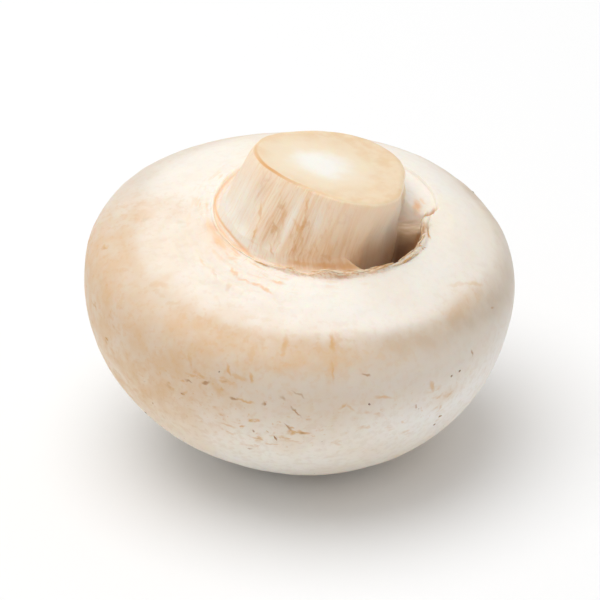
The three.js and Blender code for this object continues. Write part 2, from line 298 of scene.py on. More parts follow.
def torn_veil(depth):
    """The veil torn from the stem: over the lip, down the wall under it, and in under the stem."""
    wall = [(RING_RADIUS - inward, RING_HEIGHT - depth * share) for inward, share in TEAR_WALL]
    return spline([
        (RING_RADIUS, RING_HEIGHT),
        (RING_RADIUS - LIP_WIDTH / 4, RING_HEIGHT + LIP_RISE),
        (RING_RADIUS - LIP_WIDTH, RING_HEIGHT + LIP_RISE * 0.3),
        *wall,
        (FOOT_RADIUS - TEAR_UNDERCUT["in"], RING_HEIGHT - depth * TEAR_UNDERCUT["share"]),
    ])


def stem_side(foot, s):
    return along(np.array([foot, (CUT_RADIUS, CUT_HEIGHT)]), (s - AT_FOOT) / STEM_STEPS)


def cut_face(s):
    edge = (s - AT_CUT).clip(0, 1)
    inward = ((s - AT_CUT - 1) / CUT_STEPS).clip(0, 1)
    radius = (CUT_RADIUS - CUT_EDGE * edge) * (1 - inward)
    return np.stack([radius, CUT_HEIGHT + CUT_EDGE * edge], axis=1)


def section(veil, s):
    """The half section's radius and height at each station."""
    return np.vstack([
        dome(s[s < DOME_STEPS]),
        rim(s[(s >= DOME_STEPS) & (s <= AT_RING)]),
        along(veil, (s[(s > AT_RING) & (s <= AT_FOOT)] - AT_RING) / VEIL_STEPS),
        stem_side(veil[-1], s[(s > AT_FOOT) & (s < AT_CUT)]),
        cut_face(s[s >= AT_CUT]),
    ])


# ---------------- what changes round the mushroom
def tear(s, turn):
    """How far the veil is torn open: 0 whole, 1 open. Beside the stem the tear reaches further round."""
    starts, is_open, closes, ends = TEAR_TURNS
    further = TEAR_SLANT * (s - AT_RING).clip(0, VEIL_STEPS)
    return smooth(turn + further, starts, is_open) - smooth(turn - further, closes, ends)


def wrinkles(radius, turn):
    out = radius - RING_RADIUS
    spacing, low, high = WRINKLE["spacing"], WRINKLE["from"], WRINKLE["to"]
    here = window(out, low, low + spacing, high - spacing, high)
    bent = 1.6 * np.sin(np.radians(4 * turn)) + np.sin(np.radians(9 * turn))
    across = np.sin(2 * math.pi * out / spacing + bent)
    return across * here * strength_of(WRINKLE, turn)


def cracked(s, turn):
    """The short crack between the torn flap and the rim."""
    jagged = 0.8 * np.sin(s * 5.0)
    across = hump_at(turn + CRACK["skew"] * (s - AT_RING) + jagged, CRACK["turn"], CRACK["width"])
    return across * window(s, AT_RING - 1.2, AT_RING + 0.3, AT_FOOT - 3, AT_FOOT - 1)


def blended_section(s, turn):
    """Radius and height at each station and turn, between the whole, filled, torn and flap sections."""
    veils = [whole_veil(CREASE_DEPTH), whole_veil(-NO_CREASE["rise"], NO_CREASE["fill"]),
             torn_veil(TEAR_DEPTH), torn_veil(FLAP_DEPTH)]
    creased, filled, deep, flap = [section(veil, s[:, 0]) for veil in veils]
    opened, lifted = tear(s, turn), smooth(turn, *FLAP_TURNS)
    no_crease = strength_of(NO_CREASE, turn)
    return [lerp(lerp(creased[:, k:k + 1], filled[:, k:k + 1], no_crease),
                 lerp(deep[:, k:k + 1], flap[:, k:k + 1], lifted), opened) for k in (0, 1)]


def shape_cap(s, turn, radius, height):
    """What keeps the cap from being round: lobes, a swell, hollows, a ridge, a ledge and wrinkles."""
    on_cap = s < AT_RING
    on_top = (s > DOME_STEPS) & on_cap
    lobes = 1 + sum(size * np.cos(np.radians(count * (turn - at))) for count, size, at in LOBES)
    swell = strength_of(SWELL, turn) * hump(height - SHOULDER_HEIGHT / 2, SHOULDER_HEIGHT)
    radius = np.where(on_cap, radius * lerp(lobes, 1, smooth(s, DOME_STEPS, AT_RING)), radius)
    height = np.where(on_cap, height + SWELL["up"] * swell, height)
    hollow = sum(depth * hump_at(turn, at, wide) * hump(height / MM - level, tall)
                 for at, level, wide, tall, depth in HOLLOWS)
    radius = radius - np.where(on_top, hollow * MM, 0)
    ledge = hump(radius - RING_RADIUS - LEDGE["out"], LEDGE["wide"])
    ledge = ledge * strength_of(LEDGE, turn) * LEDGE["height"]
    ridge = hump(s - RIDGE["station"], RIDGE["wide"]) * strength_of(RIDGE, turn)
    radius = radius + ridge * RIDGE["out"]
    height = height + ridge * RIDGE["up"]
    return radius, height + np.where(on_top, WRINKLE["height"] * wrinkles(radius, turn) + ledge, 0)


def shape_veil(s, turn, radius, height):
    """The ragged lip with its cuff in front, the notch at the flap's end, and the crack beside it."""
    on_lip = window(s, AT_RING - 0.5, AT_RING + 0.5, AT_LIP, AT_LIP + 1)
    cuff = strength_of(CUFF, turn)
    ragged = waves(turn, RAGGED) * np.maximum(tear(s, turn), cuff)
    height = height + on_lip * (ragged + CUFF["height"] * cuff)
    pulled = window(s, AT_RING - 3.5, AT_RING, AT_LIP + 1, AT_LIP + 3)
    radius = radius - pulled * NOTCH["depth"] * strength_of(NOTCH, turn)
    return radius, height - CRACK["depth"] * cracked(s, turn)


def shape_stem(s, turn, radius, up):
    """Ribs that fade up the stem, and the cut's own outline: broad lobes and one flatter side."""
    ribs = waves(turn, RIBS) * lerp(1, RIBS_AT_CUT, up) / CUT_RADIUS
    radius = radius * (1 + ribs * smooth(s, AT_FOOT - 0.5, AT_FOOT + 1))
    cut_flat = CUT_FLAT["depth"] * strength_of(CUT_FLAT, turn)
    return radius * (1 + (waves(turn, CUT_LOBES) - cut_flat) / CUT_RADIUS * up)


def skin(s, turn):
    """Points of the skin in the mushroom's own frame: one row for each station, one column for each turn."""
    s, turn = s[:, None], turn[None, :]
    radius, height = blended_section(s, turn)
    radius, height = shape_cap(s, turn, radius, height)
    radius, height = shape_veil(s, turn, radius, height)
    up = np.where(s > AT_FOOT, smooth(height, FOOT_HEIGHT, CUT_HEIGHT), 0)
    radius = shape_stem(s, turn, radius, up)

    to_ring = smooth(s, DOME_STEPS, AT_RING)
    from_ring = ((s - AT_RING) / VEIL_STEPS).clip(0, 1) ** SHIFTED_SOON
    rise = ((height - FOOT_HEIGHT) / (CUT_HEIGHT - FOOT_HEIGHT)).clip(0, 1) * (s > AT_FOOT)
    centre = [lerp(lerp(RING_SHIFT[k] * to_ring, FOOT_SHIFT[k], from_ring), CUT_SHIFT[k], rise)
              for k in (0, 1)]
    x = centre[0] + radius * np.sin(np.radians(turn))
    y = centre[1] - radius * np.cos(np.radians(turn))
    ring = (slope(RING_RISE_BACK) * y + slope(RING_RISE_RIGHT) * x) * to_ring
    knife = -slope(CUT_SLOPE_BACK) * y - slope(CUT_SLOPE_RIGHT) * x
    return np.stack([x, y, height + lerp(ring, knife, up)], axis=2)


def lean_over(points):
    """Leans the mushroom to the front, then to the right."""
    a, b = math.radians(LEAN_FRONT), math.radians(LEAN_RIGHT)
    x, y, z = points[..., 0], points[..., 1], points[..., 2]
    y, z = y * math.cos(a) - z * math.sin(a), y * math.sin(a) + z * math.cos(a)
    x, z = x * math.cos(b) + z * math.sin(b), -x * math.sin(b) + z * math.cos(b)
    return np.stack([x, y, z], axis=-1)


def settle(points, leaned_skin):
    """Moves points so that the leaned skin fits the frame's box, and presses flat what is under the floor."""
    low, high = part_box("mushroom")
    flat = leaned_skin.reshape(-1, 3)
    shift = np.array([(low[k] + high[k]) / 2 - (flat[:, k].min() + flat[:, k].max()) / 2 for k in (0, 1)]
                     + [high[2] - flat[:, 2].max()])
    moved = points + shift
    moved[..., 2] = moved[..., 2].clip(0)
    return moved


# ---------------- the body's mesh
def stations():
    pieces = [np.linspace(a, b, n, endpoint=False) for a, b, n in SPLITS]
    return np.concatenate(pieces)[1:]


def grid_mesh(name, rows, first, last):
    """A closed skin: rings of points with a point at each end."""
    count, around = rows.shape[:2]
    mesh = bpy.data.meshes.new(name)
    mesh_points = np.vstack([first[None], rows.reshape(-1, 3), last[None]])
    ring = np.arange(around)
    after = (ring + 1) % around
    start = 1 + around * np.arange(count - 1)[:, None]
    quads = np.stack([start + ring, start + after, start + around + after, start + around + ring], axis=2)
    end = len(mesh_points) - 1
    base = end - around
    cap_a = [(0, 1 + j, 1 + i) for i, j in zip(ring, after)]
    cap_b = [(end, base + i, base + j) for i, j in zip(ring, after)]
    mesh.from_pydata(mesh_points.tolist(), [], quads.reshape(-1, 4).tolist() + cap_a + cap_b)
    mesh.update()
    return mesh


def store(mesh, name, values):
    """One value or vector a point, kept on the mesh for the materials and the relief."""
    values = np.asarray(values, np.float32)
    kind, field = ("FLOAT", "value") if values.ndim == 1 else ("FLOAT_VECTOR", "vector")
    mesh.attributes.new(name, kind, "POINT").data.foreach_set(field, values.ravel())


def spread(rows, first, last):
    """Adds the end points' values to a grid of values."""
    flat = np.asarray(rows, float)
    return np.concatenate([[first], flat.reshape(-1, *flat.shape[2:]), [last]])


def patches(rows, turn, level):
    """A soft mask from rows of turn, level, width in turn, width in level and, at the end, strength."""
    parts = [k * hump_at(turn, at, wide) * hump(level - high, tall) for at, high, wide, tall, k in rows]
    return np.clip(sum(parts), 0, 1)


def cap_zones(s, turn, level, plain):
    on_cap = 1 - smooth(s, AT_RING - 1, AT_RING)
    margin = RIDGE["station"] - 0.6 + waves(turn, MARGIN_WAVES)
    return {
        "veil": window(s, margin - 0.8, margin + 0.8, AT_RING + 2, AT_RING + 4),
        "shade_rise": SHADE_RISE["up"] * strength_of(SHADE_RISE, turn),
        "under_rim": 1 - smooth(s, margin, margin + 2.5),
        "tan_and_shade": patches(TAN_AND_SHADE, turn, level) * on_cap,
        "shade_band": patches(SHADE_BAND, turn, level) * np.maximum(on_cap, plain),
        "bounce_lit": patches(BOUNCE_LIT, turn, level),
        "scuffed": patches(SCUFFED, turn, level) * on_cap,
        "specked": on_cap * smooth(level, -19, -12) * (1 - smooth(s, margin - 2, margin)),
    }


def veil_zones(s, turn, level, plain):
    opened = tear(s, turn)
    to_gap = window(s, AT_LIP - 0.4, AT_LIP + 1.2, AT_FOOT - 0.6, AT_FOOT + 0.6)
    line = AT_RING + np.interp(turn, *zip(*LINE))
    half_line = 0.5 + 0.5 * strength_of(LINE_BROAD, turn)
    return {
        "gap": to_gap * opened,
        "torn_side": to_gap * 4 * opened * (1 - opened),
        "crease": hump(s - CREASE_MIDDLE, 1.3) * (1 - opened) * (1 - plain),
        "line": hump(s - line, half_line) * (1 - opened) * strength_of(LINE_SEEN, turn),
        "lip": hump(s - LIP_MIDDLE, 1.1) * opened * (1 - smooth(turn, 80, 85)),
        "ribbon": hump(s - LIP_MIDDLE, 0.9) * (1.08 * strength_of(RIBBON, turn) - 0.08).clip(0),
        "cuffed": hump(s - CUFF_MIDDLE, 1.1) * strength_of(BROWN_CUFF, turn),
        "cracked": cracked(s, turn),
        "near_ring": (window(s, AT_RING - 5, AT_RING - 1, AT_LIP, AT_FOOT)
                      * (1 - 0.8 * opened) * (0.1 + 0.9 * strength_of(PINK_ARCS, turn))),
        "veil_stained": patches(VEIL_STAINED, turn, level),
    }


def stem_zones(s, turn, level, plain):
    on_cut = smooth(s, AT_CUT + 0.3, AT_CUT + 0.9)
    streaks = np.maximum(*[strength_of(side, turn) for side in STREAKS])
    return {
        "stem": smooth(s - 4.6 * plain, AT_FOOT - 5.0, AT_FOOT - 3.4) * (1 - on_cut),
        "cut": on_cut,
        "edge": smooth(s, AT_CUT - 0.1, AT_CUT + 0.4) * (0.06 + 0.94 * strength_of(ORANGE_EDGE, turn)),
        "from_edge": (CUT_RADIUS - CUT_EDGE) / MM * (s - AT_CUT - 1) / CUT_STEPS,
        "stem_stained": patches(STEM_STAIN_AND_SHADE, turn, level),
        "stem_pale": patches(STEM_PALE_AND_LIT, turn, level),
        "streaked": 0.25 + 0.75 * streaks,
    }


def zones(s, turn, own):
    """Where each finish is, over the grid of stations and turns: masks from 0 to 1, and lengths in mm.

    In the functions above, plain is 1 where the ring has no crease.
    """
    s, turn = s[:, None], turn[None, :]
    level = own[..., 2] / MM
    plain = (NO_CREASE["spread"] * strength_of(NO_CREASE, turn)).clip(0, 1)
    towards = math.radians(PITH["turn"])
    pith = own[-1].mean(axis=0) + PITH["off_centre"] * np.array([math.sin(towards), -math.cos(towards), 0])
    from_pith = np.linalg.norm(own - pith, axis=2) / MM
    return {**veil_zones(s, turn, level, plain), **stem_zones(s, turn, level, plain),
            **cap_zones(s, turn, level, plain), "from_pith": from_pith}


def reaches(s):
    """How far each station is from the crown along the whole half section, in cap radii."""
    profile = section(whole_veil(CREASE_DEPTH), s)
    return np.concatenate([[0], np.cumsum(np.linalg.norm(np.diff(profile, axis=0), axis=1))]) / CAP_RADIUS


def store_ways(mesh, rows):
    """Keeps which way is inward along the half section, and which way is round the mushroom."""
    inward = np.roll(rows, -1, axis=0) - rows
    inward[-1] = inward[-2]
    around = np.roll(rows, -1, axis=1) - rows
    for name, way in (("inward", inward), ("around", around)):
        way = way / np.linalg.norm(way, axis=2, keepdims=True).clip(1e-9)
        store(mesh, name, spread(way, (1, 0, 0), (1, 0, 0)))


def finder(rows, run):
    """Gives the function that finds the skin's point at a turn and a reach."""
    def find(turn, reach):
        column = turn % 360 / 360 * AROUND
        k = int(column)
        line = lerp(rows[:, k], rows[:, (k + 1) % AROUND], column - k)
        return Vector([np.interp(reach * MM / CAP_RADIUS, run, line[:, axis]) for axis in range(3)])
    return find


def raw_skin():
    """The smooth skin, with the attributes that the relief, the fine pieces and the material read."""
    s = stations()
    turn = np.arange(AROUND) / AROUND * 360
    own = skin(s, turn)
    leaned = lean_over(own)
    rows = settle(leaned, leaned)
    crown, top = np.array([0, 0, -DOME_DEPTH]), own[-1].mean(axis=0)
    ends = settle(lean_over(np.array([crown, top])), leaned)
    mesh = grid_mesh("raw_skin", rows, ends[0], ends[1])
    for name, mask in zones(s, turn, own).items():
        mask = np.broadcast_to(mask, rows.shape[:2])
        store(mesh, name, spread(mask, mask[0].mean(), mask[-1].mean()))
    run = reaches(s)
    # The grain turns with the mushroom and runs along its half section, so noise stretched in it makes fibres
    sweep = np.radians(turn)
    grain = np.stack(np.broadcast_arrays(np.sin(sweep)[None], np.cos(sweep)[None], run[:, None]), axis=2)
    store(mesh, "grain", spread(grain, (0, 0, 0), (0, 0, run[-1])))
    store(mesh, "level", spread(own[..., 2] / MM, -DOME_DEPTH / MM, CUT_HEIGHT / MM))
    store_ways(mesh, rows)
    return mesh, finder(rows, run)


# ---------------- camera, floor, lights
VIEW_ELEVATION = 30
VIEW_DISTANCE = 0.6
VIEW_TARGET = Vector((0, 0, 17.7 * MM))
VIEW_WIDTH = 70.1 * MM
SENSOR_WIDTH = 36
NEAREST_SEEN = 0.01
FLOOR_HALF = 3.0
FLOOR_GREY = 0.9
KEY = {"place": (-0.16, 0.05, 0.78), "aim": (0, 0, 0.02), "size": 0.8, "power": 4.15}
SKY_STRENGTH = 0.6


def make_camera():
    data = bpy.data.cameras.new("camera")
    data.sensor_width = SENSOR_WIDTH
    data.lens = SENSOR_WIDTH * VIEW_DISTANCE / VIEW_WIDTH
    data.clip_start = NEAREST_SEEN
    camera = bpy.data.objects.new("camera", data)
    bpy.context.scene.collection.objects.link(camera)
    e = math.radians(VIEW_ELEVATION)
    back = Vector((0, -math.cos(e), math.sin(e)))
    camera.location = VIEW_TARGET + back * VIEW_DISTANCE
    camera.rotation_euler = back.to_track_quat("Z", "Y").to_euler()
    bpy.context.scene.camera = camera


def make_floor():
    mesh = bpy.data.meshes.new("floor")
    corners = [(x * FLOOR_HALF, y * FLOOR_HALF, 0) for x, y in ((-1, -1), (1, -1), (1, 1), (-1, 1))]
    mesh.from_pydata(corners, [], [(0, 1, 2, 3)])
    floor = bpy.data.objects.new("floor", mesh)
    bpy.context.scene.collection.objects.link(floor)
    material = bpy.data.materials.new("floor_white")
    material.use_nodes = True
    shader = material.node_tree.nodes["Principled BSDF"]
    shader.inputs["Base Color"].default_value = (FLOOR_GREY, FLOOR_GREY, FLOOR_GREY, 1)
    shader.inputs["Roughness"].default_value = 0.9
    mesh.materials.append(material)


def make_key_light():
    data = bpy.data.lights.new("key", "AREA")
    data.shape = "DISK"
    data.size = KEY["size"]
    data.energy = KEY["power"]
    light = bpy.data.objects.new("key", data)
    light.location = KEY["place"]
    light.rotation_euler = (Vector(KEY["place"]) - Vector(KEY["aim"])).to_track_quat("Z", "Y").to_euler()
    bpy.context.scene.collection.objects.link(light)


def make_sky():
    world = bpy.data.worlds.new("studio")
    world.use_nodes = True
    world.node_tree.nodes["Background"].inputs["Color"].default_value = (1, 1, 1, 1)
    world.node_tree.nodes["Background"].inputs["Strength"].default_value = SKY_STRENGTH
    bpy.context.scene.world = world
    bpy.context.scene.view_settings.view_transform = "Standard"


# ---------------- node helpers, for materials and for relief
def add_node(tree, kind, inputs=None, **settings):
    """Adds a node; an input given a socket is linked, any other is set."""
    node = tree.nodes.new(kind)
    for name, value in settings.items():
        setattr(node, name, value)
    for name, value in (inputs or {}).items():
        socket = node.inputs[name]
        if isinstance(value, bpy.types.NodeSocket):
            tree.links.new(value, socket)
        else:
            socket.default_value = value
    return node


def put(tree, kind, inputs=None, **settings):
    """Adds a node and gives its first output."""
    return add_node(tree, kind, inputs, **settings).outputs[0]


def calc(tree, operation, a, b=0.0):
    return put(tree, "ShaderNodeMath", {0: a, 1: b}, operation=operation)


def times(tree, first, *others):
    """The product of them all."""
    for other in others:
        first = calc(tree, "MULTIPLY", first, other)
    return first


def stepped(tree, value, low, high):
    """0 below low, 1 above high, smooth between; low may be the greater of the two."""
    return put(tree, "ShaderNodeMapRange", {"Value": value, "From Min": low, "From Max": high},
               interpolation_type="SMOOTHSTEP")


def between(tree, value, low, high):
    """A straight change from low to high as the value goes from 0 to 1."""
    return put(tree, "ShaderNodeMapRange", {"Value": value, "To Min": low, "To Max": high})


def vectors(tree, operation, a, b):
    return put(tree, "ShaderNodeVectorMath", {0: a, 1: b}, operation=operation)


def scaled(tree, vector, amount):
    return put(tree, "ShaderNodeVectorMath", {0: vector, "Scale": amount}, operation="SCALE")


def stretched(tree, vector, scales):
    """The vector, each of its three parts scaled by its own amount."""
    return vectors(tree, "MULTIPLY", vector, scales)


def noise(tree, vector, scale, detail=2.0, distortion=0.0):
    return put(tree, "ShaderNodeTexNoise",
               {"Vector": vector, "Scale": scale, "Detail": detail, "Distortion": distortion})


def lumps(tree, place, size, detail=2.0, distortion=0.0):
    """Noise with lumps of about this size, a number or a socket."""
    scale = calc(tree, "DIVIDE", 1.0, size) if isinstance(size, bpy.types.NodeSocket) else 1 / size
    return noise(tree, place, scale, detail, distortion)


def swing(tree, cloud):
    """Noise widened to go from about -1 to 1."""
    return calc(tree, "MULTIPLY", calc(tree, "SUBTRACT", cloud, 0.5), 3.0)


def drift(tree, place, size, amount):
    """A random shift that changes over the given size."""
    cloud = add_node(tree, "ShaderNodeTexNoise", {"Vector": place, "Scale": 1 / size, "Detail": 1.0})
    return scaled(tree, vectors(tree, "SUBTRACT", cloud.outputs[1], (0.5, 0.5, 0.5)), amount)


def over(tree, under, colour, *amounts):
    """One colour laid over another, by the product of the amounts."""
    amount = times(tree, *amounts)
    return add_node(tree, "ShaderNodeMix", {0: amount, 6: under, 7: colour}, data_type="RGBA").outputs[2]


def kept(tree, name, vector=False):
    """A value kept on the mesh, in a material or in a geometry tree."""
    if tree.type == "GEOMETRY":
        kind = "FLOAT_VECTOR" if vector else "FLOAT"
        return put(tree, "GeometryNodeInputNamedAttribute", {"Name": name}, data_type=kind)
    return add_node(tree, "ShaderNodeAttribute", attribute_name=name).outputs[1 if vector else 2]


# ---------------- relief and fine pieces, grown on the skin
def new_tree(name, inputs):
    """A geometry tree with named inputs. Gives the tree and its inputs' sockets by name."""
    tree = bpy.data.node_groups.new(name, "GeometryNodeTree")
    tree.interface.new_socket("Skin", in_out="INPUT", socket_type="NodeSocketGeometry")
    for label, (kind, value) in inputs.items():
        socket = tree.interface.new_socket(label, in_out="INPUT", socket_type="NodeSocket" + kind)
        if value is not None:
            socket.default_value = value
    tree.interface.new_socket("Result", in_out="OUTPUT", socket_type="NodeSocketGeometry")
    start = tree.nodes.new("NodeGroupInput")
    return tree, {socket.name: socket for socket in start.outputs if socket.name}


def end_tree(tree, geometry, material):
    """Ends the tree with a plain mesh, smooth and of one material."""
    solid = put(tree, "GeometryNodeRealizeInstances", {0: geometry})
    soft = put(tree, "GeometryNodeSetShadeSmooth", {0: solid})
    dressed = put(tree, "GeometryNodeSetMaterial", {"Geometry": soft, "Material": material})
    add_node(tree, "NodeGroupOutput", {0: dressed})
    return tree


def grow(tree, skin_mesh, name, **values):
    """Runs a tree on the skin and keeps what it makes as a plain mesh, in an object of its own."""
    piece = bpy.data.objects.new(name, skin_mesh)
    bpy.context.scene.collection.objects.link(piece)
    modifier = piece.modifiers.new(name, "NODES")
    modifier.node_group = tree
    for item in tree.interface.items_tree:
        key = item.name.lower().replace(" ", "_")
        if item.in_out == "INPUT" and key in values:
            modifier[item.identifier] = values[key]
    bpy.context.view_layer.update()
    graph = bpy.context.evaluated_depsgraph_get()
    made = bpy.data.meshes.new_from_object(piece.evaluated_get(graph), depsgraph=graph)
    made.name = name
    piece.modifiers.remove(modifier)
    piece.data = made
    return piece


def relief_tree():
    """Moves the skin in and out along its normals, but not where it rests on the floor."""
    tree, given = new_tree("relief", {
        "Unevenness": ("Float", 0.1 * MM),
        "Unevenness size": ("Float", 10 * MM),
        "Skin lumps": ("Float", 0.04 * MM),
        "Skin lump size": ("Float", 2.2 * MM),
        "Stem fibre height": ("Float", 0.05 * MM),
        "Stem fibre count": ("Float", 16.0),
        "Ring wrinkle height": ("Float", 0.1 * MM),
        "Ring wrinkle count": ("Float", 36.0),
        "Lip fray": ("Float", 0.17 * MM),
        "Knife marks": ("Float", 0.03 * MM),
        "Material": ("Material", None),
    })
    place = put(tree, "GeometryNodeInputPosition")
    grain = kept(tree, "grain", vector=True)
    stem, cut, gap = kept(tree, "stem"), kept(tree, "cut"), kept(tree, "gap")
    grown = calc(tree, "SUBTRACT", 1.0, calc(tree, "MAXIMUM", cut, gap))
    height = times(tree, swing(tree, lumps(tree, place, given["Unevenness size"], 1.0)),
                   given["Unevenness"], grown)

    def add(amount, pattern, where):
        nonlocal height
        height = calc(tree, "ADD", height, times(tree, swing(tree, pattern), amount, where))

    add(given["Skin lumps"], lumps(tree, place, given["Skin lump size"], 3.0),
        calc(tree, "SUBTRACT", grown, stem))
    uneven = between(tree, stepped(tree, lumps(tree, place, 5 * MM, 1.0), 0.35, 0.65), 0.3, 1.3)
    add(given["Stem fibre height"],
        noise(tree, stretched(tree, grain, (1.0, 1.0, 0.3)), given["Stem fibre count"], 3.0),
        times(tree, stem, uneven))
    add(given["Ring wrinkle height"],
        noise(tree, stretched(tree, grain, (0.12, 0.12, 1.0)), given["Ring wrinkle count"], 2.0),
        kept(tree, "near_ring"))
    torn = calc(tree, "MAXIMUM", kept(tree, "lip"), kept(tree, "torn_side"))
    add(given["Lip fray"], lumps(tree, place, 0.8 * MM, 3.0),
        calc(tree, "MAXIMUM", torn, times(tree, kept(tree, "crease"), 0.5)))
    add(given["Knife marks"], lumps(tree, stretched(tree, place, (0.25, 1.0, 1.0)), 1.2 * MM, 3.0), cut)
    above_floor = add_node(tree, "ShaderNodeSeparateXYZ", {0: place}).outputs["Z"]
    off_floor = stepped(tree, above_floor, 0.2 * MM, 2.5 * MM)
    normal = put(tree, "GeometryNodeInputNormal")
    shift = scaled(tree, normal, times(tree, height, off_floor))
    raised = put(tree, "GeometryNodeSetPosition", {"Geometry": given["Skin"], "Offset": shift})
    return end_tree(tree, raised, given["Material"])


STRAND_BENDS = ((0.1, 0.1), (0.35, 0.4), (0.65, 0.2), (1.0, 0.6))


def strand_shapes(tree):
    """Threads of unit length, each bent to the side and up by its own share, to pick from."""
    join = tree.nodes.new("GeometryNodeJoinGeometry")
    for bend, lift in STRAND_BENDS:
        thread = put(tree, "GeometryNodeCurveQuadraticBezier", {
            "Resolution": 7, "Start": (-0.5, 0, 0), "Middle": (bend / 4, bend, lift), "End": (0.5, 0, 0)})
        single = put(tree, "GeometryNodeGeometryToInstance", {0: thread})
        tree.links.new(single, join.inputs[0])
    return join.outputs[0]


def draw(tree, low, high, seed, whole=False):
    """A random value for each point, from low to high; a whole number where asked."""
    kind, first, out = ("INT", 4, 2) if whole else ("FLOAT", 2, 1)
    node = add_node(tree, "FunctionNodeRandomValue", {first: low, first + 1: high, "Seed": seed},
                    data_type=kind)
    return node.outputs[out]


def either_way(tree, amount, seed):
    """A random value for each point, from minus the amount to the amount."""
    return draw(tree, times(tree, amount, -1.0), amount, seed)


def spun(tree, rotation, angle):
    """The rotation, then a turn by the angle about its own upright."""
    spin = put(tree, "ShaderNodeCombineXYZ", {"Z": angle})
    spin = put(tree, "FunctionNodeEulerToRotation", {0: spin})
    return put(tree, "FunctionNodeRotateRotation", {0: rotation, 1: spin}, rotation_space="LOCAL")


def scatter(tree, given):
    """Random points on the skin, thick where the named mask is high and in clumps."""
    place = put(tree, "GeometryNodeInputPosition")
    clumps = stepped(tree, lumps(tree, place, given["Clump size"], 1.0), 0.42, 0.6)
    density = times(tree, kept(tree, given["Where"]), clumps, given["Per square metre"])
    return add_node(tree, "GeometryNodeDistributePointsOnFaces", {
        "Mesh": given["Skin"], "Density": density, "Seed": given["Seed"]}, distribute_method="RANDOM").outputs


def strand_tree():
    """Thin tapered threads lying on the skin."""
    tree, given = new_tree("strands", {
        "Where": ("String", "scuffed"),
        "Along": ("String", "around"),
        "Per square metre": ("Float", 4e5),
        "Clump size": ("Float", 4 * MM),
        "Turned by": ("Float", 3.2),
        "Shortest": ("Float", 0.8 * MM),
        "Longest": ("Float", 2.2 * MM),
        "Thickness": ("Float", 0.08 * MM),
        "Bend": ("Float", 0.5),
        "Lift": ("Float", 0.08),
        "Waviness": ("Float", 0.2 * MM),
        "Seed": ("Int", 1),
        "Material": ("Material", None),
    })
    points, _, upright = scatter(tree, given)
    laid = put(tree, "FunctionNodeAlignRotationToVector", {
        "Rotation": upright, "Vector": kept(tree, given["Along"], vector=True)},
        axis="X", pivot_axis="Z")
    aimed = spun(tree, laid, either_way(tree, given["Turned by"], 3))
    length = draw(tree, given["Shortest"], given["Longest"], 5)
    bowed = times(tree, length, either_way(tree, given["Bend"], 9))
    lifted = times(tree, length, given["Lift"])
    size = put(tree, "ShaderNodeCombineXYZ", {"X": length, "Y": bowed, "Z": lifted})
    threads = put(tree, "GeometryNodeInstanceOnPoints", {
        "Points": points, "Instance": strand_shapes(tree), "Pick Instance": True,
        "Instance Index": draw(tree, 0, len(STRAND_BENDS) - 1, 7, whole=True), "Rotation": aimed,
        "Scale": size})
    curves = put(tree, "GeometryNodeRealizeInstances", {0: threads})
    place = put(tree, "GeometryNodeInputPosition")
    shift = drift(tree, place, 1.1 * MM, given["Waviness"])
    curves = put(tree, "GeometryNodeSetPosition", {"Geometry": curves, "Offset": shift})
    part = put(tree, "GeometryNodeSplineParameter")
    taper = calc(tree, "SINE", times(tree, between(tree, part, 0.06, 0.94), math.pi))
    ring = put(tree, "GeometryNodeCurvePrimitiveCircle", {"Resolution": 4, "Radius": 1.0})
    solid = put(tree, "GeometryNodeCurveToMesh", {
        "Curve": curves, "Profile Curve": ring, "Scale": times(tree, taper, given["Thickness"]),
        "Fill Caps": True})
    return end_tree(tree, solid, given["Material"])


def speck_tree():
    """Small flattened grains pressed into the skin."""
    tree, given = new_tree("specks", {
        "Where": ("String", "specked"),
        "Per square metre": ("Float", 1.1e4),
        "Clump size": ("Float", 9 * MM),
        "Smallest": ("Float", 0.04 * MM),
        "Largest": ("Float", 0.13 * MM),
        "Seed": ("Int", 1),
        "Material": ("Material", None),
    })
    points, _, upright = scatter(tree, given)
    size = draw(tree, given["Smallest"], given["Largest"], 3)
    flat = put(tree, "ShaderNodeCombineXYZ", {
        "X": size, "Y": times(tree, size, 1.5), "Z": times(tree, size, 0.5)})
    aimed = spun(tree, upright, draw(tree, 0.0, 2 * math.pi, 5))
    ball = put(tree, "GeometryNodeMeshIcoSphere", {"Radius": 1.0, "Subdivisions": 2})
    specks = put(tree, "GeometryNodeInstanceOnPoints", {
        "Points": points, "Instance": ball, "Rotation": aimed, "Scale": flat})
    return end_tree(tree, specks, given["Material"])


# ---------------- materials
SKIN_WHITE = (0.89, 0.84, 0.76, 1)
SKIN_CREAM = (0.85, 0.745, 0.615, 1)
# Painted shade under the rim, and the colour of the skin's own darker spots
SKIN_SHADE_AND_MOTTLE = (0.69, 0.61, 0.52, 1)
# Painted bounce light: a cooler white
SKIN_BOUNCE_LIT = (0.88, 0.85, 0.81, 1)
# Painted grey-brown shade along the rim
SKIN_GREY_SHADE = (0.56, 0.45, 0.34, 1)
# Tan, also laid on as painted shade and reflected light by the tan rows
TAN = (0.71, 0.47, 0.26, 1)
SCUFF_ORANGE = (0.68, 0.40, 0.16, 1)
SCUFF_BROWN = (0.46, 0.25, 0.11, 1)
VEIL_PINK = (0.86, 0.63, 0.44, 1)
CREASE_BROWN = (0.66, 0.35, 0.15, 1)
CREASE_ORANGE = (0.84, 0.50, 0.26, 1)
FLAP_PINK = (0.93, 0.80, 0.68, 1)
# Painted shade deep in the tear
GAP_SHADE_BROWN = (0.27, 0.13, 0.06, 1)
STEM_CREAM = (0.90, 0.76, 0.59, 1)
STEM_PEACH = (0.87, 0.63, 0.41, 1)
STEM_TAN = (0.74, 0.43, 0.22, 1)
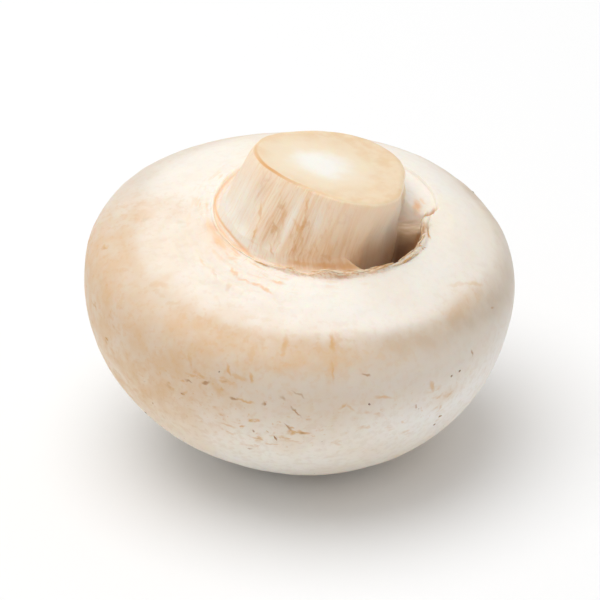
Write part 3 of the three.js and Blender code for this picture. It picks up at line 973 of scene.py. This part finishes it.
# For streaks and stains on the stem, and for painted shade at its foot
STEM_STREAK_AND_SHADE = (0.74, 0.41, 0.16, 1)
STEM_WHITE = (0.91, 0.84, 0.74, 1)
CUT_WHITE = (0.89, 0.86, 0.79, 1)
CUT_CREAM = (0.84, 0.71, 0.53, 1)
CUT_TAN = (0.76, 0.54, 0.32, 1)
EDGE_ORANGE = (0.66, 0.34, 0.12, 1)
CURL_LIGHT, CURL_DARK = (0.72, 0.48, 0.26, 1), (0.50, 0.30, 0.15, 1)
SHRED_LIGHT, SHRED_DARK = (0.90, 0.74, 0.54, 1), (0.74, 0.43, 0.20, 1)
SOIL_LIGHT, SOIL_DARK = (0.44, 0.32, 0.24, 1), (0.27, 0.18, 0.13, 1)
MARK_WANDER = 0.7 * MM
MARK_DEPTH = 1.5 * MM


def new_material(name, roughness):
    material = bpy.data.materials.new(name)
    material.use_nodes = True
    shader = material.node_tree.nodes["Principled BSDF"]
    shader.inputs["Roughness"].default_value = roughness
    return material, material.node_tree, shader


def let_light_in(shader, weight, depth):
    """Flesh lets light in, red the furthest."""
    shader.inputs["Subsurface Weight"].default_value = weight
    shader.inputs["Subsurface Radius"].default_value = (1.0, 0.5, 0.25)
    shader.inputs["Subsurface Scale"].default_value = depth


def with_marks(tree, under, colour, strength, rows, place, find):
    """Each row's thin patch, lying on the skin, with soft ragged edges."""
    ragged = vectors(tree, "ADD", place, drift(tree, place, MARK_WANDER, MARK_WANDER))
    mask = 0.0
    for turn_a, reach_a, turn_b, reach_b, wide, dark in rows:
        start, end = find(turn_a, reach_a), find(turn_b, reach_b)
        lengthways = (end - start).normalized()
        round_it = find(turn_a + 1, reach_a) - find(turn_a - 1, reach_a)
        up_it = find(turn_a, reach_a + 0.4) - find(turn_a, reach_a - 0.4)
        across = round_it.cross(up_it).cross(lengthways).normalized()
        axes = Matrix((lengthways, across, lengthways.cross(across))).transposed()
        half_width = wide * MM / 2
        local = put(tree, "ShaderNodeMapping", {
            "Vector": ragged, "Location": (start + end) / 2, "Rotation": axes.to_euler(),
            "Scale": ((end - start).length / 2 + half_width, half_width, MARK_DEPTH)}, vector_type="TEXTURE")
        away = add_node(tree, "ShaderNodeVectorMath", {0: local}, operation="LENGTH").outputs["Value"]
        mask = calc(tree, "MAXIMUM", mask, times(tree, stepped(tree, away, 1.3, 0.2), dark))
    return over(tree, under, colour, mask, strength)


def cap_ground(tree, place, grains, mottled):
    """White skin with cream clouds and cooler patches of painted bounce light and highlight, painted shade
    under the rim with the skin's own darker spots, and painted grey-brown shade along it.
    """
    clouds = lumps(tree, place, 11 * MM, 3.0)
    colour = over(tree, SKIN_WHITE, SKIN_CREAM, stepped(tree, clouds, 0.40, 0.68))
    # Painted bounce light and highlight: cooler white patches
    colour = over(tree, colour, SKIN_BOUNCE_LIT, kept(tree, "bounce_lit"))
    uneven = times(tree, swing(tree, lumps(tree, place, 7 * MM, 3.0)), 0.9)
    level = calc(tree, "ADD", kept(tree, "level"), uneven)
    lowest = calc(tree, "SUBTRACT", level, kept(tree, "shade_rise"))
    under_rim = kept(tree, "under_rim")
    shade = times(tree, stepped(tree, level, 8.2, 4.4), stepped(tree, lowest, -8.0, 1.0), under_rim)
    # Painted shade in a band under the rim, its lower edge rising towards the right
    colour = over(tree, colour, SKIN_SHADE_AND_MOTTLE, shade, 0.75)
    # The skin's own darker spots, in the same colour
    spotted = times(tree, stepped(tree, grains, 0.42, 0.68), between(tree, under_rim, 0.08, 0.2))
    colour = over(tree, colour, SKIN_SHADE_AND_MOTTLE, spotted)
    # Painted grey-brown shade along the rim, broken up by mottle
    shade_band = times(tree, kept(tree, "shade_band"), between(tree, mottled, 0.6, 1.0), 0.85)
    return over(tree, colour, SKIN_GREY_SHADE, shade_band)


def cap_colour(tree, place, find):
    """Tan patches, partly the skin's own tan and partly painted shade and warm reflected light, small orange
    scuffs with brown tips, flecks, and then the single marks.
    """
    tan_and_shade, scuffed = kept(tree, "tan_and_shade"), kept(tree, "scuffed")
    mottled = stepped(tree, lumps(tree, place, 2.4 * MM, 5.0), 0.3, 0.7)
    grains = lumps(tree, place, 0.8 * MM, 3.0)
    colour = cap_ground(tree, place, grains, mottled)
    # Tan: partly real, partly painted shade and reflected light
    colour = over(tree, colour, TAN, tan_and_shade, between(tree, mottled, 0.5, 1.0), 0.85)
    granular = times(tree, stepped(tree, grains, 0.5, 0.66), between(tree, tan_and_shade, 0.05, 0.5))
    colour = over(tree, colour, TAN, granular)
    here = times(tree, stepped(tree, lumps(tree, place, 4.5 * MM, 2.0), 0.4, 0.56), scuffed)
    blots = lumps(tree, stretched(tree, place, (1.0, 1.0, 1.8)), 1.9 * MM, 4.0, 0.3)
    colour = over(tree, colour, SCUFF_ORANGE, stepped(tree, blots, 0.55, 0.68), here, 0.9)
    colour = over(tree, colour, SCUFF_BROWN, stepped(tree, blots, 0.65, 0.74), here, 0.7)
    flecks = stepped(tree, lumps(tree, place, 0.5 * MM, 2.0), 0.64, 0.74)
    colour = over(tree, colour, SCUFF_ORANGE, flecks, between(tree, scuffed, 0.08, 0.5))
    colour = with_marks(tree, colour, SCUFF_ORANGE, 0.8, ORANGE_MARKS, place, find)
    return with_marks(tree, colour, SCUFF_BROWN, 0.9, BROWN_MARKS, place, find)


def veil_colour(tree, under, place, grain, find):
    """Near the ring: paler, with thin pink arcs round it, a pink crease and lip, and a brown ribbon."""
    near = kept(tree, "near_ring")
    colour = over(tree, under, SKIN_WHITE, kept(tree, "veil"), 0.4)
    arcs = noise(tree, stretched(tree, grain, (0.1, 0.1, 1.0)), 60.0, 3.0)
    broken = stepped(tree, lumps(tree, place, 2.5 * MM, 1.0), 0.4, 0.6)
    colour = over(tree, colour, VEIL_PINK, stepped(tree, arcs, 0.5, 0.62), broken, near, 0.9)
    short = noise(tree, stretched(tree, grain, (1.0, 1.0, 0.25)), 55.0, 2.0)
    colour = over(tree, colour, VEIL_PINK, stepped(tree, short, 0.6, 0.72), near, 0.5)
    colour = with_marks(tree, colour, CREASE_ORANGE, 0.8, VEIL_MARKS, place, find)
    folded = calc(tree, "MAXIMUM", kept(tree, "crease"), kept(tree, "lip"))
    colour = over(tree, colour, VEIL_PINK, folded, 0.6)
    ribbon = calc(tree, "MAXIMUM", kept(tree, "ribbon"), kept(tree, "cuffed"))
    colour = over(tree, colour, VEIL_PINK, ribbon, 0.85)
    fibres = noise(tree, stretched(tree, grain, (0.2, 0.2, 1.0)), 140.0, 3.0)
    colour = over(tree, colour, CREASE_BROWN, stepped(tree, fibres, 0.44, 0.6), ribbon, 0.8)
    colour = with_marks(tree, colour, SCUFF_BROWN, 0.8, RIBBON_MARKS, place, find)
    stain = times(tree, kept(tree, "veil_stained"), between(tree, broken, 0.5, 1.0))
    return over(tree, colour, CREASE_ORANGE, stain, 0.8)


def stem_colour(tree, place, grain, find):
    """Cream flesh with broken tan fibres, white patches that are partly painted light, and tan at the foot
    that is partly stain and partly painted shade beside the tear.
    """
    stain_and_shade, pale_and_lit, streaked = kept(tree, "stem_stained"), kept(tree, "stem_pale"), kept(tree, "streaked")
    broad = stepped(tree, noise(tree, stretched(tree, grain, (1.0, 1.0, 0.3)), 20.0, 4.0, 0.4), 0.42, 0.66)
    fibres = stepped(tree, noise(tree, stretched(tree, grain, (1.0, 1.0, 0.25)), 60.0, 3.0, 0.6), 0.5, 0.7)
    spots = lumps(tree, stretched(tree, place, (1.0, 1.0, 0.6)), 0.9 * MM, 3.0, 0.5)
    spots = stepped(tree, spots, 0.55, 0.7)
    broad = over(tree, (0.5, 0.5, 0.5, 1), broad, streaked)
    colour = over(tree, STEM_CREAM, STEM_PEACH, between(tree, broad, 0.15, 0.85))
    # Stains, and painted shade at the foot beside the tear
    colour = over(tree, colour, STEM_TAN, stain_and_shade, between(tree, broad, 0.3, 0.9))
    colour = over(tree, colour, STEM_TAN, fibres, streaked, between(tree, stain_and_shade, 0.25, 0.6))
    colour = over(tree, colour, EDGE_ORANGE, spots, streaked, between(tree, stain_and_shade, 0.15, 0.6))
    # White patches, partly painted light
    colour = over(tree, colour, STEM_WHITE, pale_and_lit, between(tree, fibres, 0.95, 0.5))
    # Single streaks and stains, and one broad mark of painted shade at the foot
    return with_marks(tree, colour, STEM_STREAK_AND_SHADE, 0.65, STEM_MARKS_AND_SHADE, place, find)


def cut_colour(tree, place):
    """White pith, then cream, then tan towards the knife's edge, all blotched."""
    out = calc(tree, "ADD", kept(tree, "from_pith"), swing(tree, lumps(tree, place, 2.6 * MM, 3.0)))
    colour = over(tree, CUT_WHITE, CUT_CREAM, stepped(tree, out, 1.4, 4.8))
    tan = stepped(tree, out, 4.2, 8.8)
    blotch = between(tree, stepped(tree, lumps(tree, place, 1.6 * MM, 4.0), 0.35, 0.65), 0.45, 1.0)
    return over(tree, colour, CUT_TAN, tan, blotch, 0.8)


def gap_colour(tree, grain):
    """Pale pink at the top of the tear, then tan, and brown deep inside it: painted shade that deepens down
    into the tear.
    """
    uneven = times(tree, swing(tree, noise(tree, grain, 30.0, 3.0)), 0.4)
    level = calc(tree, "ADD", kept(tree, "level"), uneven)
    colour = over(tree, FLAP_PINK, CUT_TAN, stepped(tree, level, 9.6, 8.3))
    return over(tree, colour, GAP_SHADE_BROWN, stepped(tree, level, 9.8, 6.2))


def flesh_bump(tree, place, grain):
    """Fine grain and fibrils everywhere, and fibres down the stem."""
    skin_grain = lumps(tree, place, 0.35 * MM, 3.0)
    fibrils = noise(tree, stretched(tree, grain, (1.0, 1.0, 0.15)), 90.0, 2.0)
    height = calc(tree, "ADD", times(tree, skin_grain, 0.35), times(tree, fibrils, 0.4))
    stem = noise(tree, stretched(tree, grain, (1.0, 1.0, 0.1)), 100.0, 2.0)
    return calc(tree, "ADD", height, times(tree, stem, kept(tree, "stem"), 0.6))


def mushroom_flesh(find):
    material, tree, shader = new_material("mushroom_flesh", 0.55)
    place = add_node(tree, "ShaderNodeTexCoord").outputs["Object"]
    grain = kept(tree, "grain", vector=True)
    colour = veil_colour(tree, cap_colour(tree, place, find), place, grain, find)
    colour = over(tree, colour, stem_colour(tree, place, grain, find), kept(tree, "stem"))
    colour = over(tree, colour, CREASE_ORANGE, kept(tree, "line"), 0.9)
    # The tear: painted shade, pale at its top and brown deep down
    colour = over(tree, colour, gap_colour(tree, grain), kept(tree, "gap"))
    colour = over(tree, colour, cut_colour(tree, place), kept(tree, "cut"))
    # Brown along the crack between flap and rim: the torn edge's own brown, with painted shadow in the crack
    colour = over(tree, colour, CREASE_BROWN, kept(tree, "cracked"), 0.9)
    on_edge = stepped(tree, kept(tree, "from_edge"), 0.4, 0.1)
    colour = over(tree, colour, EDGE_ORANGE, on_edge, kept(tree, "edge"), 0.9)
    tree.links.new(colour, shader.inputs["Base Color"])
    rough = between(tree, lumps(tree, place, 4 * MM, 3.0), 0.38, 0.68)
    tree.links.new(calc(tree, "ADD", rough, times(tree, kept(tree, "cut"), 0.1)), shader.inputs["Roughness"])
    bump = put(tree, "ShaderNodeBump", {
        "Strength": 0.6, "Distance": 0.08 * MM, "Height": flesh_bump(tree, place, grain)})
    tree.links.new(bump, shader.inputs["Normal"])
    let_light_in(shader, 0.45, 1.8 * MM)
    return material


def thread_material(name, light, dark):
    """For peeled threads: from one colour to the other, one thread to the next."""
    material, tree, shader = new_material(name, 0.7)
    place = add_node(tree, "ShaderNodeTexCoord").outputs["Object"]
    shade = stepped(tree, lumps(tree, place, 1.4 * MM, 2.0), 0.35, 0.65)
    tree.links.new(over(tree, light, dark, shade), shader.inputs["Base Color"])
    let_light_in(shader, 0.2, 0.5 * MM)
    return material


def soil_material():
    material, tree, shader = new_material("soil_specks", 0.85)
    place = add_node(tree, "ShaderNodeTexCoord").outputs["Object"]
    colour = over(tree, SOIL_LIGHT, SOIL_DARK, lumps(tree, place, 1 * MM, 2.0))
    tree.links.new(colour, shader.inputs["Base Color"])
    return material


# ---------------- the pieces
def attach(piece):
    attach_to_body(piece, "root")


def make_body(raw, find):
    body = grow(relief_tree(), raw, "mushroom_body", material=mushroom_flesh(find))
    attach(body)
    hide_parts("mushroom")
    return body


def make_threads(skin_mesh):
    tree = strand_tree()
    scuff = thread_material("peeled_skin", CURL_LIGHT, CURL_DARK)
    shred = thread_material("torn_veil", SHRED_LIGHT, SHRED_DARK)
    attach(grow(tree, skin_mesh, "skin_curls", where="scuffed", along="around", per_square_metre=4e4,
                turned_by=0.9, shortest=0.25 * MM, longest=0.9 * MM, thickness=0.1 * MM, bend=0.6,
                waviness=0.6 * MM, seed=11, material=scuff))
    attach(grow(tree, skin_mesh, "veil_ribbon", where="ribbon", along="around", per_square_metre=8e6,
                clump_size=2 * MM, turned_by=0.14, shortest=1.2 * MM, longest=3.2 * MM, thickness=0.1 * MM,
                bend=0.08, lift=0.04, waviness=0.3 * MM, seed=12, material=shred))
    attach(grow(tree, skin_mesh, "veil_shreds", where="lip", along="inward", per_square_metre=1.4e6,
                clump_size=1.5 * MM, turned_by=0.8, shortest=0.3 * MM, longest=0.8 * MM, thickness=0.08 * MM,
                bend=0.3, seed=13, material=shred))


def make_specks(skin_mesh):
    attach(grow(speck_tree(), skin_mesh, "soil_specks", where="specked", seed=21, material=soil_material()))


make_camera()
smooth_skin, skin_point = raw_skin()
body_piece = make_body(smooth_skin, skin_point)
make_threads(body_piece.data)
make_specks(body_piece.data)
make_floor()
make_key_light()
make_sky()
